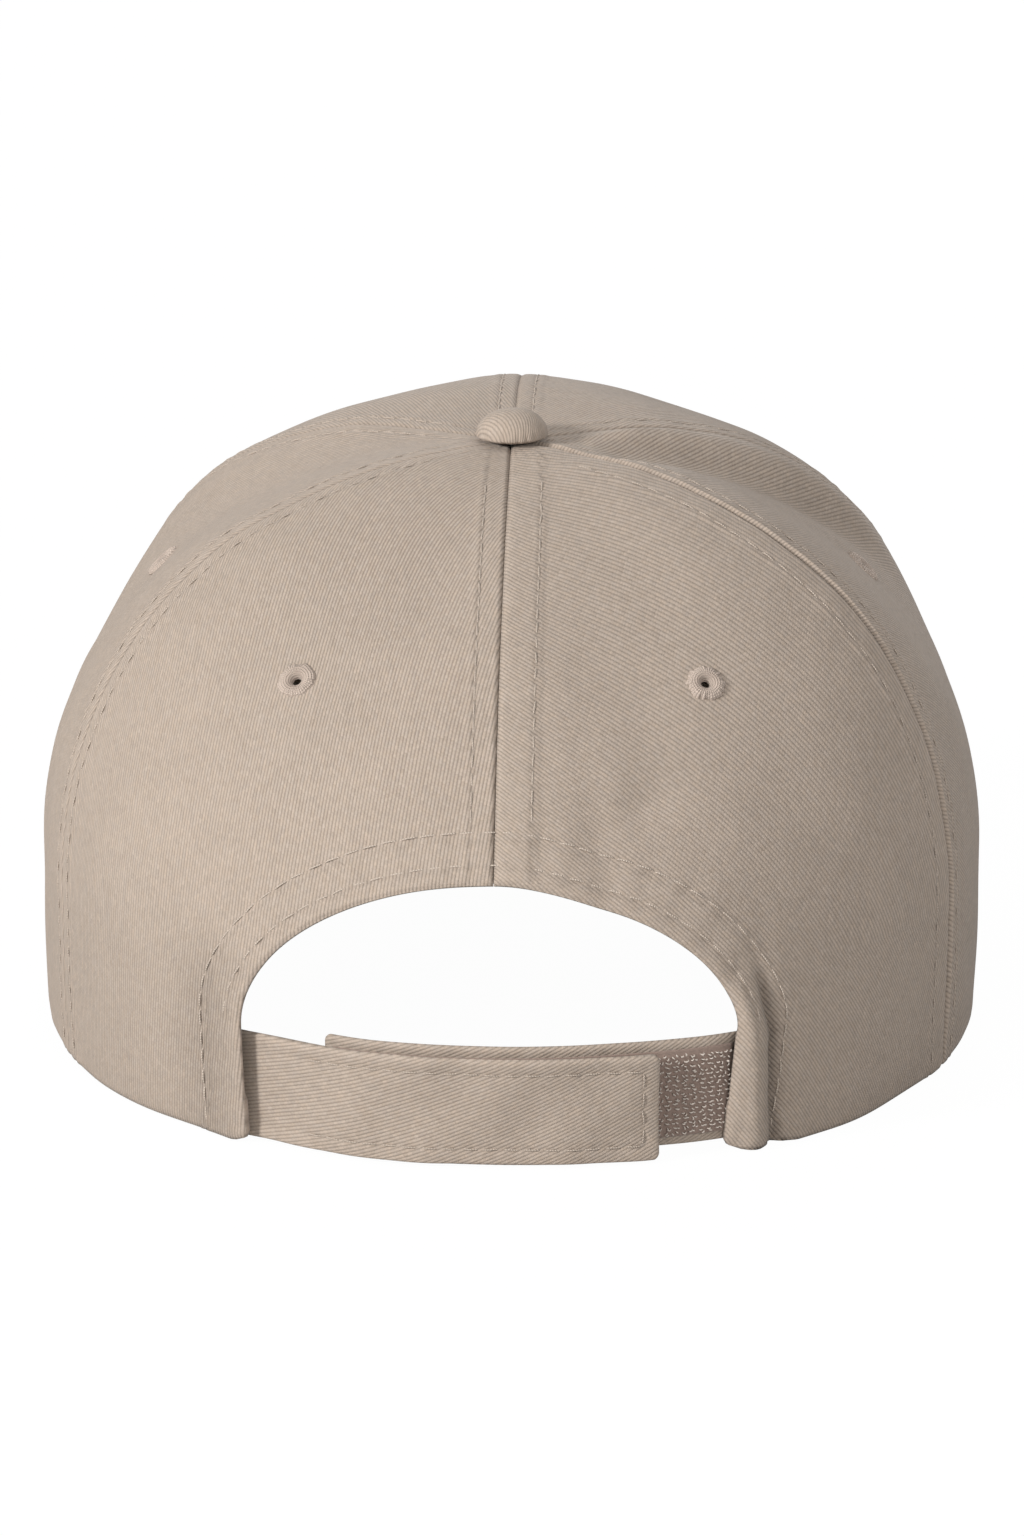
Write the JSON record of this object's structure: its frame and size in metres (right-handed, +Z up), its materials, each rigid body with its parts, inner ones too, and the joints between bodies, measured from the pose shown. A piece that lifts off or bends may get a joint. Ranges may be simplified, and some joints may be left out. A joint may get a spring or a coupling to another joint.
{
  "type": "baseball cap",
  "caption": "Structured panelled cotton-twill cap with a curved visor, covered top button, sewn eyelets, and a hook-and-loop fabric strap across an arched rear opening.",
  "frame": {"origin": "centre of the head opening, straight below the button, on the level plane that the back rim rests on", "axes": "+Z up through the button, -Y out through the visor, +X to the wearer's left"},
  "size_m": [0.184, 0.2674, 0.1218],
  "materials": {
    "cap_twill": "washed cotton twill, matt, with a fine diagonal rib",
    "seam_tape": "folded cotton tape, matt",
    "sweatband_cloth": "soft cotton twill, matt",
    "buckram": "stiffened open-weave cloth",
    "foam": "thin open-cell pad",
    "eyelet_thread": "close embroidery thread with a slight sheen",
    "loop_tape": "brushed nylon loop pile",
    "hook_tape": "woven nylon tape with clear nylon hooks",
    "visor_plastic": "plain moulded sheet",
    "pressed_steel": "plain pressed sheet"
  },
  "bodies": {
    "crown": {"panel_front_left": "cap_twill", "panel_front_right": "cap_twill", "panel_side_left": "cap_twill", "panel_side_right": "cap_twill", "panel_back_left": "cap_twill", "panel_back_right": "cap_twill", "buckram_left": "buckram", "buckram_right": "buckram", "seam_tape_front": "seam_tape", "seam_tape_front_left": "seam_tape", "seam_tape_front_right": "seam_tape", "seam_tape_back": "seam_tape", "seam_tape_back_left": "seam_tape", "seam_tape_back_right": "seam_tape", "opening_binding": "seam_tape", "sweatband": "sweatband_cloth", "sweatband_foam": "foam", "button_cover": "cap_twill", "button_shell": "pressed_steel", "button_rivet": "pressed_steel", "eyelet_front_left": "eyelet_thread", "eyelet_front_right": "eyelet_thread", "eyelet_side_left": "eyelet_thread", "eyelet_side_right": "eyelet_thread", "eyelet_back_left": "eyelet_thread", "eyelet_back_right": "eyelet_thread", "visor_board": "visor_plastic", "visor_cover_top": "cap_twill", "visor_cover_bottom": "cap_twill", "strap_outer_anchor": "cap_twill", "strap_inner_anchor": "cap_twill"},
    "outer_strap": {"strap_outer": "cap_twill", "strap_outer_loop_tape": "loop_tape"},
    "inner_strap": {"strap_inner": "cap_twill", "strap_inner_hook_tape": "hook_tape"}
  },
  "joints": [
    {"name": "outer_strap_peel", "type": "hinge", "parent": "crown", "child": "outer_strap", "pos_m": [0.04516, 0.0846, 0.01065], "axis": [0, 0, -1], "range_deg": [0, 120]},
    {"name": "inner_strap_fold", "type": "hinge", "parent": "crown", "child": "inner_strap", "pos_m": [-0.04458, 0.08357, 0.01195], "axis": [0, 0, -1], "range_deg": [0, 90]}
  ]
}
